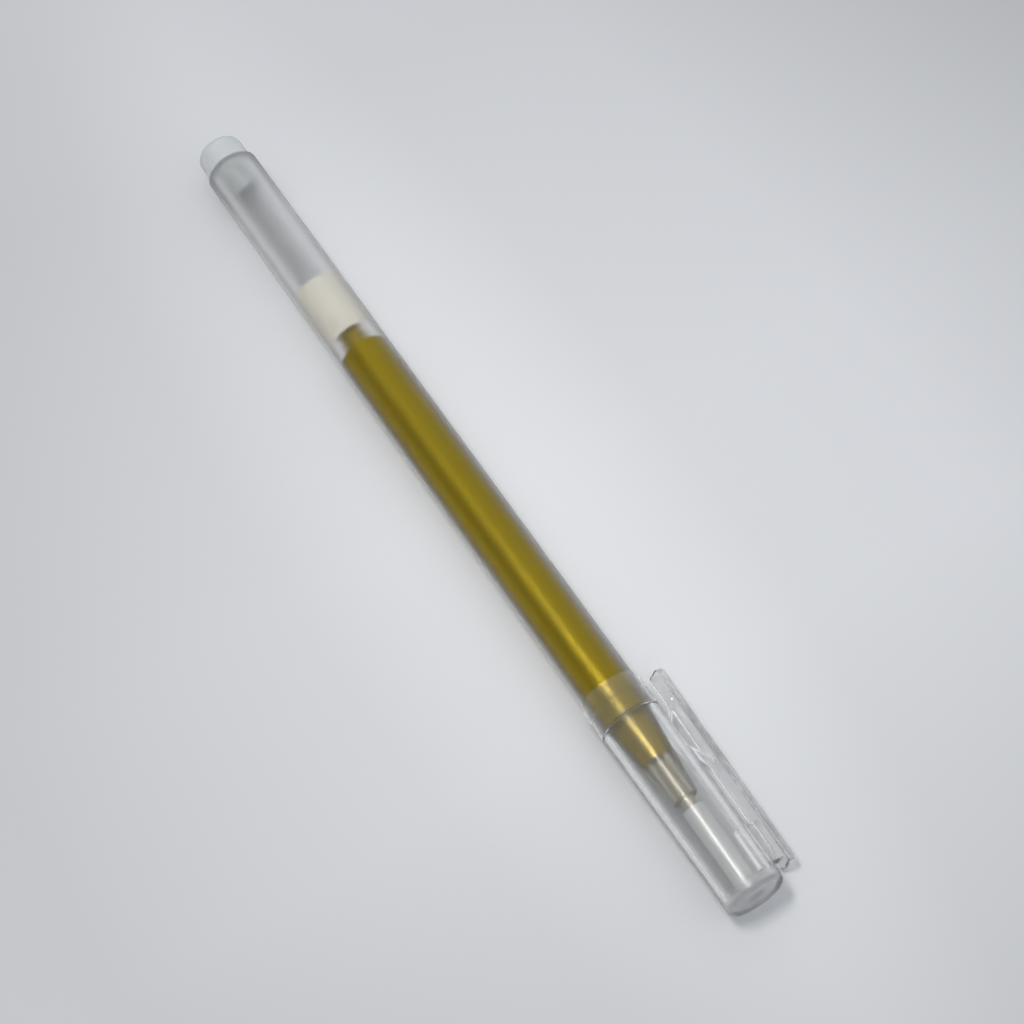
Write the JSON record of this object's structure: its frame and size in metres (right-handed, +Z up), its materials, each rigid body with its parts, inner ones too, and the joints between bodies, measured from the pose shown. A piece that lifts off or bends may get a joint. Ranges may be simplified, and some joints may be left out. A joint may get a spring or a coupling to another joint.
{
  "type": "gel pen",
  "caption": "Capped direct-fill gel pen: clear barrel full of gold ink behind a grease follower, tapered nose with a metal ball point, and a clear pull-off cap with a springy side clip.",
  "frame": {"origin": "on the table, under the middle of the pen's bounding box as it lies on its side", "axes": "+X along the pen towards the cap and the writing point, +Y towards the side the clip is on, +Z up"},
  "size_m": [0.1492, 0.0139, 0.0095],
  "materials": {
    "satin_barrel": "clear plastic tube with a satin skin",
    "tail_plug": "hazy grey-clear moulded plastic",
    "nose_plastic": "clear moulded plastic, faintly beige",
    "point_metal": "turned nickel-silver point",
    "spring_metal": "drawn steel wire",
    "gold_ink": "metallic gold pigment gel, fine grain",
    "grease": "cream translucent grease",
    "ball_metal": "polished tungsten carbide",
    "clear_cap": "crystal clear polished plastic",
    "soft_clear": "soft clear plastic sleeve",
    "soft_seal": "milky elastomer"
  },
  "bodies": {
    "barrel": {"barrel": "satin_barrel", "tail_plug": "tail_plug", "nose_cone": "nose_plastic", "point_body": "point_metal", "tip_spring": "spring_metal", "ink_column": "gold_ink"},
    "follower": {"grease_follower": "grease"},
    "ball": {"point_ball": "ball_metal"},
    "cap": {"cap_shell": "clear_cap", "inner_sleeve": "soft_clear", "tip_seal": "soft_seal"},
    "clip": {"cap_clip": "clear_cap"}
  },
  "joints": [
    {"name": "cap_pull", "type": "slide", "parent": "barrel", "child": "cap", "axis": [1, 0, 0], "range_m": [0, 0.045]},
    {"name": "clip_flex", "type": "hinge", "parent": "cap", "child": "clip", "pos_m": [0.07095, 0.00201, 0.00316], "axis": [0, -0.3536, -0.9354], "range_deg": [0, 4], "stiffness_Nm_per_rad": 0.6},
    {"name": "ball_roll", "type": "hinge", "parent": "barrel", "child": "ball", "pos_m": [0.06033, -0.00221, 0.00475], "axis": [0, 1, 0], "continuous": true},
    {"name": "follower_advance", "type": "slide", "parent": "barrel", "child": "follower", "axis": [1, 0, 0], "range_m": [0, 0.069], "deforming": ["ink_column"]}
  ]
}
